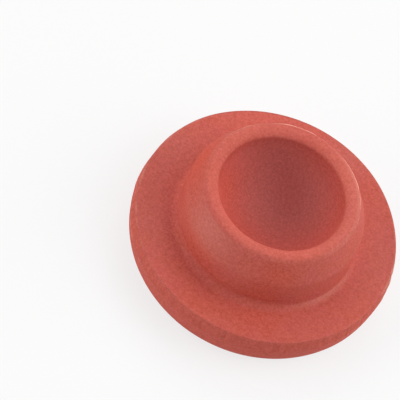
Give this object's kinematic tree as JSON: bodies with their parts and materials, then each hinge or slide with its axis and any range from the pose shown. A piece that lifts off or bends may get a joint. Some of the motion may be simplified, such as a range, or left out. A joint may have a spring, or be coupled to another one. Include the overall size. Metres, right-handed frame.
{
  "type": "rubber stopper",
  "caption": "Flanged rubber vial stopper with a hollow, tapered plug, a rounded cap edge and a die-trimmed rim; stands on its cap.",
  "frame": {"origin": "centre of the cap's flat outer face, which the stopper stands on", "axes": "+Z along the stopper's axis, from the cap face towards the open end of the plug; X and Y lie in the cap face"},
  "size_m": [0.0192, 0.0192, 0.0082],
  "materials": {
    "rubber": "matte, moulded"
  },
  "bodies": {
    "root": {"stopper": "rubber"}
  },
  "joints": []
}
